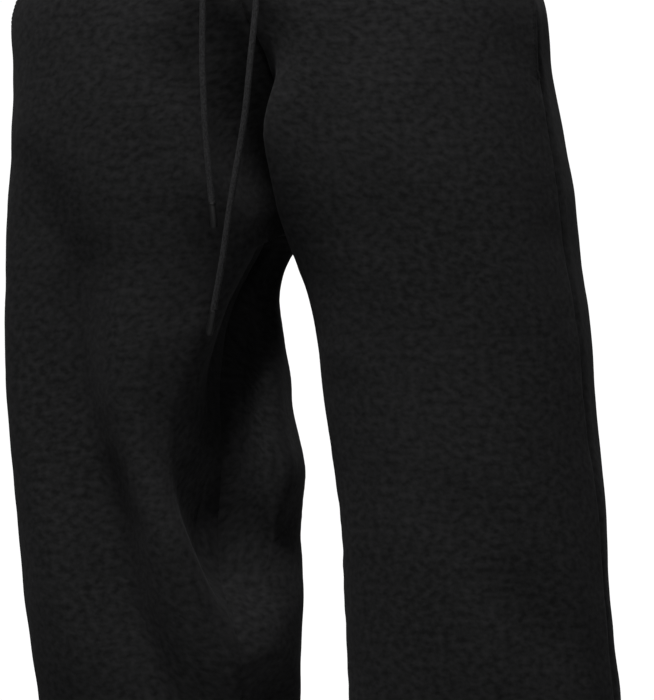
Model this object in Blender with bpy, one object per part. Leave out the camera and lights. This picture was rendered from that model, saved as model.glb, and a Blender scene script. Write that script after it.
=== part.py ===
"""Jogger sweatpants in heavy brushed fleece, held in the hollow form of a standing wearer.

Metres, +X the wearer's left, -Y the front, +Z up. The origin is the centre of the waistband's
opening. Each half of the trousers is a loft through oval sections, from the waist seam to the cuff
seam. A section starts and ends on the rise seam above the crotch, and on the inseam below it.
"""

import math
from collections import namedtuple

import bmesh
import bpy
import mathutils
import numpy as np

# Driving sizes
CLOTH = 0.0024  # thickness of the fleece
GAP = 0.0003  # between pieces that meet at a seam
WAISTBAND_HEIGHT = 0.045
WAISTBAND_WALL = 0.0045  # two layers and the elastic between them
WAIST_SLOPE = 0.065  # the waist is this much lower at the front, per metre of depth
CUFF_HEIGHT = 0.060
CUFF_WALL = 0.0036  # doubled rib
FRONT_COLUMNS = 12
BACK_COLUMNS = 14
ROWS_ABOVE_CROTCH = 10
ROWS_BELOW_CROTCH = 17
RING_SAMPLES = 240  # points on an oval before they are spaced into columns
PANEL_WIDTH = 0.34  # what one unit across a panel measures, for the reach of a fold
FOLD_SAMPLES = 24
FOLD_TAPER = 0.7  # how bluntly a fold ends
POCKET_COLUMNS = 5  # of the front panel's columns, forward from the side seam
POCKET_TOP_ROW = 1
POCKET_BOTTOM_ROW = 9
POCKET_GAP = 0.0020
POCKET_WALL = 0.0014
WAISTBAND_TURNS = 48
CUFF_TURNS = 32
CORD_RADIUS = 0.00275
CORD_STEP = 0.0135
AGLET_RADIUS = 0.0032
AGLET_LENGTH = 0.022
EYELET_RADIUS = 0.0060
EYELET_WIRE = 0.0011
EYELET_FACE = -0.1262

# A section of one half: where its side lies, the oval's centre and half sizes, how square it is,
# how far its ends are from the innermost point, and how far forward the side seam sits.
Section = namedtuple(
    "Section",
    "name height centre_x half_width centre_y half_depth square front_end back_end side_turn",
)
LEFT_SECTIONS = (
    Section("waist seam", -0.045, 0.000, 0.187, -0.002, 0.120, 2.2, 90, 90, 4),
    Section("gathers", -0.085, 0.000, 0.219, -0.001, 0.137, 2.3, 90, 90, 4),
    Section("high hip", -0.130, 0.000, 0.240, -0.001, 0.145, 2.4, 88, 88, 5),
    Section("hip", -0.185, 0.032, 0.212, -0.003, 0.144, 2.4, 78, 82, 6),
    Section("low hip", -0.240, 0.074, 0.180, -0.005, 0.140, 2.4, 58, 68, 7),
    Section("fork", -0.290, 0.112, 0.150, -0.007, 0.134, 2.4, 36, 46, 7),
    Section("crotch", -0.345, 0.142, 0.127, -0.008, 0.125, 2.4, 6, -6, 7),
    Section("upper thigh", -0.405, 0.159, 0.121, -0.010, 0.117, 2.3, 6, -6, 7),
    Section("thigh", -0.476, 0.170, 0.119, -0.014, 0.109, 2.25, 7, -7, 7),
    Section("lower thigh", -0.546, 0.181, 0.117, -0.018, 0.103, 2.2, 8, -8, 4),
    Section("above the knee", -0.617, 0.187, 0.117, -0.021, 0.098, 2.2, 8, -8, 2),
    Section("knee", -0.687, 0.191, 0.118, -0.021, 0.096, 2.2, 8, -8, 2),
    Section("below the knee", -0.745, 0.194, 0.119, -0.016, 0.095, 2.2, 8, -8, 2),
    Section("calf", -0.820, 0.196, 0.117, -0.008, 0.094, 2.2, 8, -8, 2),
    Section("low calf", -0.890, 0.197, 0.110, -0.003, 0.090, 2.1, 8, -8, 2),
    Section("blouse", -0.950, 0.197, 0.096, 0.003, 0.082, 2.1, 8, -8, 2),
    Section("cuff seam", -0.990, 0.196, 0.048, 0.007, 0.052, 2.0, 8, -8, 2),
)
RIGHT_SECTIONS = (
    Section("waist seam", -0.045, 0.000, 0.187, -0.002, 0.120, 2.2, 90, 90, 4),
    Section("gathers", -0.085, 0.000, 0.219, -0.001, 0.137, 2.3, 90, 90, 4),
    Section("high hip", -0.130, 0.000, 0.238, -0.001, 0.145, 2.4, 88, 88, 4),
    Section("hip", -0.185, 0.027, 0.207, -0.002, 0.144, 2.4, 80, 82, 2),
    Section("low hip", -0.240, 0.063, 0.173, -0.003, 0.140, 2.4, 64, 70, 0),
    Section("fork", -0.290, 0.089, 0.149, -0.004, 0.134, 2.4, 42, 48, -3),
    Section("crotch", -0.345, 0.112, 0.127, -0.005, 0.125, 2.4, 6, -6, -7),
    Section("upper thigh", -0.405, 0.118, 0.119, -0.006, 0.118, 2.4, 15, -15, -12),
    Section("thigh", -0.476, 0.114, 0.123, -0.010, 0.112, 2.3, 31, -31, -20),
    Section("lower thigh", -0.546, 0.104, 0.129, -0.014, 0.107, 2.2, 41, -41, -26),
    Section("above the knee", -0.617, 0.097, 0.128, -0.017, 0.104, 2.2, 46, -46, -30),
    Section("knee", -0.687, 0.096, 0.122, -0.014, 0.100, 2.2, 45, -45, -30),
    Section("below the knee", -0.745, 0.098, 0.117, 0.000, 0.097, 2.2, 42, -42, -28),
    Section("calf", -0.820, 0.101, 0.111, 0.025, 0.094, 2.2, 38, -38, -26),
    Section("low calf", -0.890, 0.103, 0.106, 0.045, 0.089, 2.1, 34, -34, -24),
    Section("blouse", -0.950, 0.104, 0.094, 0.059, 0.081, 2.1, 30, -30, -22),
    Section("cuff seam", -0.990, 0.105, 0.048, 0.066, 0.052, 2.0, 28, -28, -20),
)
CROTCH = 6  # the row of the crotch in both tables
CROTCH_HEIGHT = -0.345

# The rise seam, from the waist down the front, through the crotch and up the seat.
# lift is its height above the section's own side there.
RisePoint = namedtuple("RisePoint", "name x y lift")
RISE = (
    RisePoint("front waist", 0.000, -0.122, 0.0),
    RisePoint("front gathers", 0.000, -0.137, 0.0),
    RisePoint("front high hip", 0.000, -0.142, 0.0),
    RisePoint("front hip", 0.002, -0.128, 0.0),
    RisePoint("front low hip", 0.006, -0.098, -0.002),
    RisePoint("front fork", 0.010, -0.054, -0.004),
    RisePoint("crotch", 0.013, 0.022, 0.017),
    RisePoint("back fork", 0.010, 0.104, 0.002),
    RisePoint("back low hip", 0.006, 0.140, 0.0),
    RisePoint("back hip", 0.002, 0.150, 0.0),
    RisePoint("back high hip", 0.000, 0.146, 0.0),
    RisePoint("back gathers", 0.000, 0.135, 0.0),
    RisePoint("back waist", 0.000, 0.118, 0.0),
)
INSEAM_LIFT = (0.017, 0.007, 0.0)  # how far the inseam still lies above its section, by row
RISE_REACH = 0.22  # share of a panel's width that bends in towards the rise

# The largest folds. Each runs through three places. across is 0 at the front rise or the inseam,
# 1 at the side seam and 2 at the back, so less than 0 is the back panel beside the inseam.
Fold = namedtuple(
    "Fold", "name side across_a height_a across_b height_b across_c height_c width depth"
)
FOLDS = (
    Fold("right outer trough", -1, 0.64, -0.33, 0.41, -0.51, 0.20, -0.72, 0.026, -0.010),
    Fold("right knee ridge", -1, 0.42, -0.42, 0.19, -0.585, -0.12, -0.675, 0.028, 0.013),
    Fold("right thigh hollow", -1, 0.29, -0.44, 0.15, -0.53, -0.04, -0.60, 0.032, -0.013),
    Fold("right inner knee", -1, -0.30, -0.52, -0.14, -0.570, -0.03, -0.60, 0.024, -0.014),
    Fold("right below knee", -1, -0.18, -0.68, -0.14, -0.725, -0.12, -0.78, 0.034, -0.012),
    Fold("right seat", -1, 1.88, -0.35, 1.66, -0.400, 1.36, -0.40, 0.028, -0.010),
    Fold("right knee back", -1, 1.25, -0.66, 1.50, -0.640, 1.78, -0.61, 0.028, -0.014),
    Fold("right calf back", -1, 1.20, -0.73, 1.50, -0.720, 1.80, -0.75, 0.028, -0.010),
    Fold("right stack", -1, 0.10, -0.90, 0.45, -0.915, 0.85, -0.89, 0.022, -0.008),
    Fold("left rise edge", 1, 0.08, -0.17, 0.18, -0.240, 0.28, -0.33, 0.024, 0.006),
    Fold("left thigh", 1, 0.62, -0.14, 0.53, -0.230, 0.44, -0.32, 0.050, 0.004),
    Fold("left seat", 1, 1.86, -0.36, 1.62, -0.395, 1.30, -0.41, 0.028, -0.010),
    Fold("left knee back", 1, 1.22, -0.64, 1.50, -0.655, 1.76, -0.64, 0.028, -0.012),
    Fold("left calf back", 1, 1.24, -0.72, 1.50, -0.745, 1.82, -0.73, 0.028, -0.009),
    Fold("left stack", 1, 0.15, -0.90, 0.50, -0.920, 0.90, -0.90, 0.022, -0.008),
)

# Each drawcord's route from its eyelet to its aglet.
LEFT_CORD = (
    (0.0236, -0.1246, -0.0300),
    (0.0237, -0.1330, -0.0305),
    (0.0239, -0.1425, -0.0355),
    (0.0243, -0.1490, -0.0480),
    (0.0250, -0.1510, -0.0700),
    (0.0257, -0.1515, -0.1000),
    (0.0261, -0.1525, -0.1350),
    (0.0243, -0.1540, -0.1600),
    (0.0216, -0.1545, -0.1860),
    (0.0156, -0.1530, -0.2370),
    (0.0025, -0.1485, -0.3050),
    (-0.0066, -0.1440, -0.3560),
    (-0.0160, -0.1385, -0.3980),
)
RIGHT_CORD = (
    (-0.0236, -0.1246, -0.0300),
    (-0.0236, -0.1330, -0.0305),
    (-0.0235, -0.1425, -0.0355),
    (-0.0231, -0.1490, -0.0480),
    (-0.0224, -0.1510, -0.0700),
    (-0.0216, -0.1515, -0.1000),
    (-0.0213, -0.1520, -0.1350),
    (-0.0216, -0.1520, -0.1860),
    (-0.0201, -0.1505, -0.2370),
    (-0.0172, -0.1480, -0.2800),
    (-0.0150, -0.1465, -0.3065),
)


def between(rows, place):
    """The values of a table at a place between its rows, on a smooth curve through them."""
    table = np.array(rows, float)
    last = len(table) - 1
    start = min(int(place), last - 1)
    part = place - start
    a, b, c, d = (table[min(max(start + step, 0), last)] for step in (-1, 0, 1, 2))
    slope_b = (c - a) / 2 if start > 0 else c - b
    slope_c = (d - b) / 2 if start < last - 1 else c - b
    square, cube = part * part, part**3
    return (
        (2 * cube - 3 * square + 1) * b
        + (cube - 2 * square + part) * slope_b
        + (3 * square - 2 * cube) * c
        + (cube - square) * slope_c
    )


def slope_at(height):
    """The waist's slope, which fades out down to the low hip."""
    low_hip, waist = LEFT_SECTIONS[4].height, LEFT_SECTIONS[0].height
    return WAIST_SLOPE * max(0.0, min(1.0, (height - low_hip) / (waist - low_hip)))


def oval(values, degrees):
    """Points of a section's oval. 0 degrees is its innermost point, 90 its front, 180 its side."""
    height, centre_x, half_width, centre_y, half_depth, square = values[:6]
    turn = np.radians(degrees)
    power = 2.0 / square
    x = centre_x - half_width * np.sign(np.cos(turn)) * np.abs(np.cos(turn)) ** power
    y = centre_y - half_depth * np.sign(np.sin(turn)) * np.abs(np.sin(turn)) ** power
    return np.column_stack([x, y, height + slope_at(height) * y])


def spaced(points, count, trim):
    """count + 1 points at even distances along a line, which starts and ends trim short."""
    steps = np.linalg.norm(np.diff(points, axis=0), axis=1)
    reach = np.concatenate([[0], np.cumsum(steps)])
    wanted = np.linspace(trim, reach[-1] - trim, count + 1)
    return np.column_stack([np.interp(wanted, reach, points[:, i]) for i in range(3)])


def section_ring(side, sections, place):
    """The front and back panels' points at one place down the leg, from the inner front round."""
    values = between([row[1:] for row in sections], place)
    front_end, back_end, side_turn = values[6:]
    if place >= CROTCH:
        back_end = -front_end
    degrees = np.linspace(front_end, 360 - back_end, RING_SAMPLES)
    points = oval(values, degrees)
    at_side = int(np.argmin(np.abs(degrees - (180 - side_turn))))
    across = np.concatenate(
        [np.linspace(0, 1, at_side + 1), np.linspace(1, 2, RING_SAMPLES - at_side)[1:]]
    )
    points[:, 0] *= side
    if place <= CROTCH:
        rise = [row[1:] for row in RISE]
        targets = []
        for along_rise in (place, len(RISE) - 1 - place):
            x, y, lift = between(rise, along_rise)
            targets.append(np.array([x + side * GAP, y, values[0] + slope_at(values[0]) * y + lift]))
    else:
        lift = between([[lift] for lift in INSEAM_LIFT], min(place - CROTCH, 2.0))[0]
        targets = [points[0] + (0, 0, lift), points[-1] + (0, 0, lift)]
    near_front = np.clip(1 - across / RISE_REACH, 0, 1) ** 2
    near_back = np.clip(1 - (2 - across) / RISE_REACH, 0, 1) ** 2
    points += np.outer(near_front, targets[0] - points[0])
    points += np.outer(near_back, targets[1] - points[-1])
    front = spaced(points[: at_side + 1], FRONT_COLUMNS, GAP / 2)
    back = spaced(points[at_side:], BACK_COLUMNS, GAP / 2)
    return front, back


def unit(vectors):
    return vectors / np.maximum(np.linalg.norm(vectors, axis=-1, keepdims=True), 1e-12)


def outward(front, back, side):
    """Directions out of the cloth at each point of both panels, shared along their seams."""
    whole = np.concatenate([front, back], axis=1)
    along = np.gradient(whole, axis=1)
    down = np.gradient(whole, axis=0)
    normal = unit(np.cross(down, along) * side)
    seam = front.shape[1]
    normal[:, seam - 1] = normal[:, seam] = unit(normal[:, seam - 1] + normal[:, seam])
    crotch = ROWS_ABOVE_CROTCH
    for edge in (0, -1):
        normal[: crotch + 1, edge, 0] = 0
    inseam = unit(normal[crotch + 1 :, 0] + normal[crotch + 1 :, -1])
    normal[crotch + 1 :, 0] = normal[crotch + 1 :, -1] = inseam
    normal[crotch, 0] = normal[crotch, -1] = (0, 0, -1)
    normal = unit(normal)
    return normal[:, :seam], normal[:, seam:]


def fold_heights(side, across, height):
    """How far the cloth stands out of its section because of the folds."""
    total = np.zeros_like(across)
    for fold in FOLDS:
        if fold.side != side:
            continue
        along = np.linspace(0, 1, FOLD_SAMPLES + 1)[:, None, None]
        a, b, c = (1 - along) * (1 - 2 * along), 4 * along * (1 - along), along * (2 * along - 1)
        line_across = a * fold.across_a + b * fold.across_b + c * fold.across_c
        line_height = a * fold.height_a + b * fold.height_b + c * fold.height_c
        apart = np.hypot((across - line_across) * PANEL_WIDTH, height - line_height)
        beyond = np.hypot((across - 2 - line_across) * PANEL_WIDTH, height - line_height)
        apart = np.where(height < CROTCH_HEIGHT, np.minimum(apart, beyond), apart)
        travelled = np.argmin(apart, axis=0) / FOLD_SAMPLES
        taper = np.sin(np.pi * travelled) ** FOLD_TAPER
        total += fold.depth * taper * np.exp(-((np.min(apart, axis=0) / fold.width) ** 2))
    return total


def leg_panels(side, sections):
    """Outer points of the front and back panels of one half, and the directions out of them."""
    places = np.concatenate(
        [
            np.linspace(0, CROTCH, ROWS_ABOVE_CROTCH + 1),
            np.linspace(CROTCH, len(sections) - 1, ROWS_BELOW_CROTCH + 1)[1:],
        ]
    )
    rings = [section_ring(side, sections, place) for place in places]
    front = np.array([ring[0] for ring in rings])
    back = np.array([ring[1] for ring in rings])
    out_front, out_back = outward(front, back, side)
    for panel, out, first in ((front, out_front, 0.0), (back, out_back, 1.0)):
        across = first + np.linspace(0, 1, panel.shape[1])[None, :] * np.ones((len(panel), 1))
        panel += out * fold_heights(side, across, panel[:, :, 2])[:, :, None]
    out_front, out_back = outward(front, back, side)
    return front, back, out_front, out_back


def material(name, colour, roughness, metallic=0.0):
    made = bpy.data.materials.get(name) or bpy.data.materials.new(name)
    made.use_nodes = True
    shader = made.node_tree.nodes["Principled BSDF"]
    shader.inputs["Base Color"].default_value = (*colour, 1.0)
    shader.inputs["Roughness"].default_value = roughness
    shader.inputs["Metallic"].default_value = metallic
    return made


def fleece():
    return material("black fleece", (0.010, 0.010, 0.011), 0.95)


def add_object(name, mesh, finish):
    piece = bpy.data.objects.new(name, mesh)
    collection().objects.link(piece)
    mesh.materials.append(finish)
    mesh.shade_smooth()
    mesh.set_sharp_from_angle(angle=math.radians(50))
    return piece


def collection():
    name = "jogger_sweatpants"
    made = bpy.data.collections.get(name)
    if made is None:
        made = bpy.data.collections.new(name)
        bpy.context.scene.collection.children.link(made)
    return made


def grid_faces(rows, columns, wrap_rows=False, wrap_columns=False):
    faces = []
    for i in range(rows if wrap_rows else rows - 1):
        for j in range(columns if wrap_columns else columns - 1):
            i2, j2 = (i + 1) % rows, (j + 1) % columns
            faces.append((i * columns + j, i2 * columns + j, i2 * columns + j2, i * columns + j2))
    return faces


def facing_out(mesh):
    """The same mesh with its faces turned outwards."""
    shape = bmesh.new()
    shape.from_mesh(mesh)
    bmesh.ops.recalc_face_normals(shape, faces=shape.faces)
    if shape.calc_volume(signed=True) < 0:
        bmesh.ops.reverse_faces(shape, faces=shape.faces)
    shape.to_mesh(mesh)
    shape.free()
    return mesh


def wall(name, outer, inner):
    """A closed sheet of cloth between two grids of points."""
    rows, columns = outer.shape[:2]
    count = rows * columns
    # Both sides are cut along the same diagonals, so that the wall stays as thick everywhere.
    halves = [(face[:3], (face[0], *face[2:])) for face in grid_faces(rows, columns)]
    faces = [half for pair in halves for half in pair]
    faces += [tuple(count + v for v in reversed(face)) for face in faces]
    top = [j for j in range(columns)]
    right = [i * columns + columns - 1 for i in range(rows)]
    bottom = [(rows - 1) * columns + j for j in reversed(range(columns))]
    left = [i * columns for i in reversed(range(rows))]
    edge = top[:-1] + right[:-1] + bottom[:-1] + left[:-1]
    for a, b in zip(edge, edge[1:] + edge[:1]):
        faces.append((a, b, count + b, count + a))
    mesh = bpy.data.meshes.new(name)
    points = np.concatenate([outer.reshape(-1, 3), inner.reshape(-1, 3)])
    mesh.from_pydata(points.tolist(), [], faces)
    return facing_out(mesh)


def loop_tube(name, profile_rings):
    """A closed band: profile_rings[i][j] is point j of the wall's profile at turn i."""
    rings = np.array(profile_rings)
    mesh = bpy.data.meshes.new(name)
    faces = grid_faces(rings.shape[0], rings.shape[1], wrap_rows=True, wrap_columns=True)
    mesh.from_pydata(rings.reshape(-1, 3).tolist(), [], faces)
    return facing_out(mesh)


def build_half(side, sections, word):
    """The front and back panels and the pocket bag of one half."""
    front, back, out_front, out_back = leg_panels(side, sections)
    for name, panel, out in (("front_", front, out_front), ("back_", back, out_back)):
        mesh = wall(name + word, panel, panel - out * CLOTH)
        add_object(name + word, mesh, fleece())
    rows = slice(POCKET_TOP_ROW, POCKET_BOTTOM_ROW + 1)
    columns = slice(FRONT_COLUMNS - POCKET_COLUMNS, None)
    bag = np.concatenate([front[rows, columns], back[rows, 1:2]], axis=1)
    out = np.concatenate([out_front[rows, columns], out_back[rows, 1:2]], axis=1)
    outer = bag - out * (CLOTH + POCKET_GAP)
    mesh = wall("pocket_" + word, outer, outer - out * POCKET_WALL)
    add_object("pocket_" + word, mesh, fleece())


def build_waistband():
    """One folded band all round, level with the wearer's hips and a little lower at the front."""
    top = LEFT_SECTIONS[0]
    profile = (
        ("outer bottom", 0.0, WAISTBAND_HEIGHT - GAP),
        ("outer belly", 0.0022, WAISTBAND_HEIGHT * 0.55),
        ("outer shoulder", 0.0006, 0.0028),
        ("top edge", -WAISTBAND_WALL * 0.5, 0.0),
        ("inner shoulder", -WAISTBAND_WALL, 0.0028),
        ("inner bottom", -WAISTBAND_WALL, WAISTBAND_HEIGHT - GAP),
    )
    rings = []
    for turn in range(WAISTBAND_TURNS):
        angle = 360 * turn / WAISTBAND_TURNS
        ring = []
        for _, out, down in profile:
            grown = (0, 0, top.half_width + out, top.centre_y, top.half_depth + out, top.square)
            point = oval(grown, np.array([angle]))[0]
            ring.append((point[0], point[1], -down + WAIST_SLOPE * point[1]))
        rings.append(ring)
    add_object("waistband", loop_tube("waistband", rings), fleece())


def build_cuff(side, sections, word):
    """A doubled rib cuff below the gathered leg."""
    seam = sections[-1]
    profile = (
        ("outer top", -0.0010, GAP),
        ("outer belly", 0.0005, 0.014),
        ("outer bottom", -0.0045, CUFF_HEIGHT - 0.002),
        ("bottom edge", -0.0045 - CUFF_WALL / 2, CUFF_HEIGHT),
        ("inner bottom", -0.0045 - CUFF_WALL, CUFF_HEIGHT - 0.002),
        ("inner top", -0.0010 - CUFF_WALL, GAP),
    )
    rings = []
    for turn in range(CUFF_TURNS):
        angle = math.radians(360 * turn / CUFF_TURNS)
        ring = []
        for _, out, down in profile:
            x = side * seam.centre_x + (seam.half_width + out) * math.cos(angle)
            y = seam.centre_y + (seam.half_depth + out) * math.sin(angle)
            ring.append((x, y, seam.height - down))
        rings.append(ring)
    add_object("cuff_" + word, loop_tube("cuff_" + word, rings), rib())


def smooth_route(route, step):
    """Points at even steps on a smooth curve through a route."""
    places = np.linspace(0, len(route) - 1, 40 * len(route))
    line = np.array([between(route, place) for place in places])
    length = np.linalg.norm(np.diff(line, axis=0), axis=1).sum()
    return spaced(line, int(round(length / step)), 0.0)


def build_cord(route, word):
    """A hanging drawcord end, its eyelet in the waistband and the aglet pressed on its tip."""
    points = smooth_route(route, CORD_STEP)
    curve = bpy.data.curves.new("drawcord_" + word, "CURVE")
    curve.dimensions = "3D"
    curve.bevel_depth = CORD_RADIUS
    curve.bevel_resolution = 2
    curve.use_fill_caps = True
    spline = curve.splines.new("POLY")
    spline.points.add(len(points) - 1)
    for point, place in zip(spline.points, points):
        point.co = (*place, 1.0)
    cord = bpy.data.objects.new("drawcord_" + word, curve)
    collection().objects.link(cord)
    curve.materials.append(cord_finish())

    tip = bmesh.new()
    bmesh.ops.create_cone(
        tip,
        cap_ends=True,
        segments=16,
        radius1=AGLET_RADIUS * 0.86,
        radius2=AGLET_RADIUS,
        depth=AGLET_LENGTH,
    )
    mesh = bpy.data.meshes.new("aglet_" + word)
    tip.to_mesh(mesh)
    tip.free()
    aglet = add_object("aglet_" + word, mesh, aglet_finish())
    down = unit(points[-1] - points[-2])
    aglet.location = points[-1] + down * (AGLET_LENGTH / 2 + GAP)
    aglet.rotation_mode = "QUATERNION"
    aglet.rotation_quaternion = mathutils.Vector(-down).to_track_quat("Z", "Y")

    bpy.ops.mesh.primitive_torus_add(
        location=(route[0][0], EYELET_FACE, route[0][2]),
        rotation=(math.radians(90), 0, 0),
        major_radius=EYELET_RADIUS,
        minor_radius=EYELET_WIRE,
        major_segments=24,
        minor_segments=8,
    )
    torus = bpy.context.object
    eyelet = add_object("eyelet_" + word, torus.data, aglet_finish())
    eyelet.matrix_world = torus.matrix_world.copy()
    bpy.data.objects.remove(torus)


def rib():
    return material("black rib", (0.009, 0.009, 0.010), 0.92)


def cord_finish():
    return material("black cord", (0.014, 0.014, 0.015), 0.8)


def aglet_finish():
    return material("black metal", (0.004, 0.004, 0.004), 0.45)


def clear_scene():
    for found in list(bpy.data.objects):
        bpy.data.objects.remove(found, do_unlink=True)


clear_scene()
for half in ((1, LEFT_SECTIONS, "left"), (-1, RIGHT_SECTIONS, "right")):
    build_half(*half)
    build_cuff(*half)
build_waistband()
build_cord(LEFT_CORD, "left")
build_cord(RIGHT_CORD, "right")
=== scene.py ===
"""Jogger sweatpants in heavy black fleece, standing in the form of a wearer.

Metres, +X the wearer's left, -Y the front, +Z up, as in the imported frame.
"""

import math

import bmesh
import bpy
import numpy as np
from mathutils import Matrix, Vector, noise


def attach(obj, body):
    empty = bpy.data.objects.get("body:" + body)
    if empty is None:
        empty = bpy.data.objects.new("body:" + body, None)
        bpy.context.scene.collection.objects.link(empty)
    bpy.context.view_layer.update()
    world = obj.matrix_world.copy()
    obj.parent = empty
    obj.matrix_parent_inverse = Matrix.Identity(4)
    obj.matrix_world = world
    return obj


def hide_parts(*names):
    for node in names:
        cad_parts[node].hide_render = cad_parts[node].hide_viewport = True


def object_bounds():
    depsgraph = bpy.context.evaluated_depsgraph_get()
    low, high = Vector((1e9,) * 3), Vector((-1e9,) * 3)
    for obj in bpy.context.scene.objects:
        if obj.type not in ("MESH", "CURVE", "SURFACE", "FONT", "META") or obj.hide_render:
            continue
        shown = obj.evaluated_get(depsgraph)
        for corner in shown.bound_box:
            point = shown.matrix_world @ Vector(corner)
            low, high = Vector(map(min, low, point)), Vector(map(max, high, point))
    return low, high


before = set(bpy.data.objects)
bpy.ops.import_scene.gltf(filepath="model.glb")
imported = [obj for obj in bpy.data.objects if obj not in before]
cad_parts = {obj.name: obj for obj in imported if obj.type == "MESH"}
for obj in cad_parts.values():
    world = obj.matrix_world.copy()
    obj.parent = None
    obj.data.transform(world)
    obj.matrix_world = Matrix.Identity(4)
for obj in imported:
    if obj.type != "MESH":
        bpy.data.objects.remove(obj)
cad_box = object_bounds()

# ----------------------------------------
# The studio. A level camera a little to the wearer's left of the front, close in on the hips and
# thighs, a large soft light high in front, a weak one low at the front on the wearer's left, one
# behind, and a pale floor.
# ----------------------------------------

CAMERA_TURN = math.radians(15.6)
CAMERA_DISTANCE = 4.0
CAMERA_ACROSS, CAMERA_HEIGHT = 0.044, -0.432
CAMERA_LENS = 250.2
camera_right = Vector((math.cos(CAMERA_TURN), math.sin(CAMERA_TURN), 0))
camera_aim = camera_right * CAMERA_ACROSS + Vector((0, 0, CAMERA_HEIGHT))
towards_camera = Vector((math.sin(CAMERA_TURN), -math.cos(CAMERA_TURN), 0))
camera = bpy.data.objects.new("camera", bpy.data.cameras.new("camera"))
camera.data.sensor_width = 36.0
camera.data.sensor_fit = "HORIZONTAL"
camera.data.lens = CAMERA_LENS
camera.data.clip_start = 0.1
camera.data.clip_end = 60.0
camera.location = camera_aim + towards_camera * CAMERA_DISTANCE
camera.rotation_euler = (-towards_camera).to_track_quat("-Z", "Y").to_euler()
bpy.context.scene.collection.objects.link(camera)
bpy.context.scene.camera = camera
bpy.context.scene.view_settings.view_transform = "Standard"


def add_light(name, place, aim, size, watts):
    """A square soft light that points at a place."""
    lamp = bpy.data.lights.new(name, "AREA")
    lamp.shape = "SQUARE"
    lamp.size = size
    lamp.energy = watts
    made = bpy.data.objects.new(name, lamp)
    made.location = place
    made.rotation_euler = (Vector(aim) - Vector(place)).to_track_quat("-Z", "Y").to_euler()
    bpy.context.scene.collection.objects.link(made)


add_light("key_light", (-0.02, -1.50, 2.10), (0.05, 0.0, -0.30), 0.8, 82)
add_light("fill_light", (1.6, -2.4, 0.5), (0.05, 0.0, -0.40), 1.2, 5)
add_light("back_light", (0.6, 2.8, 1.3), (0.0, 0.0, -0.45), 2.0, 16)

world = bpy.data.worlds.new("studio")
bpy.context.scene.world = world
world.use_nodes = True
nodes, links = world.node_tree.nodes, world.node_tree.links
nodes.clear()
ray = nodes.new("ShaderNodeLightPath")
seen = nodes.new("ShaderNodeBackground")
seen.inputs["Color"].default_value = (1.0, 1.0, 1.0, 1.0)
seen.inputs["Strength"].default_value = 1.05
lit = nodes.new("ShaderNodeBackground")
lit.inputs["Color"].default_value = (0.96, 0.98, 1.0, 1.0)
lit.inputs["Strength"].default_value = 0.045
either = nodes.new("ShaderNodeMixShader")
world_out = nodes.new("ShaderNodeOutputWorld")
links.new(ray.outputs["Is Camera Ray"], either.inputs[0])
links.new(lit.outputs[0], either.inputs[1])
links.new(seen.outputs[0], either.inputs[2])
links.new(either.outputs[0], world_out.inputs["Surface"])

FLOOR_RADIUS = 3.2
FLOOR_GLOW = 0.30
bpy.ops.mesh.primitive_circle_add(
    vertices=96, radius=FLOOR_RADIUS, fill_type="NGON", location=(0, 0, cad_box[0].z - 0.0005)
)
floor = bpy.context.object
floor.name = "floor"
floor_paint = bpy.data.materials.new("pale floor")
floor_paint.use_nodes = True
floor_shader = floor_paint.node_tree.nodes["Principled BSDF"]
floor_shader.inputs["Base Color"].default_value = (0.70, 0.70, 0.70, 1.0)
floor_shader.inputs["Roughness"].default_value = 0.9
# The camera sees the floor a little brighter than the lights make it, so that it stays pale.
floor_shader.inputs["Emission Color"].default_value = (1.0, 1.0, 1.0, 1.0)
floor_ray = floor_paint.node_tree.nodes.new("ShaderNodeLightPath")
floor_glow = floor_paint.node_tree.nodes.new("ShaderNodeMath")
floor_glow.operation = "MULTIPLY"
floor_glow.inputs[1].default_value = FLOOR_GLOW
floor_paint.node_tree.links.new(floor_ray.outputs["Is Camera Ray"], floor_glow.inputs[0])
floor_paint.node_tree.links.new(floor_glow.outputs[0], floor_shader.inputs["Emission Strength"])
floor.data.materials.append(floor_paint)

# ----------------------------------------
# The four leg panels. Heavy fleece, knitted face outside and brushed inside, cut as a front and a
# back for each leg, overlocked together at the side, the inseam and the rise. The cloth hangs from
# the waistband in wide soft folds, pulls in a little at every seam and piles up above the cuffs.
# ----------------------------------------

CLOTH = 0.0024
WAIST_SLOPE = 0.065
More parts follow.
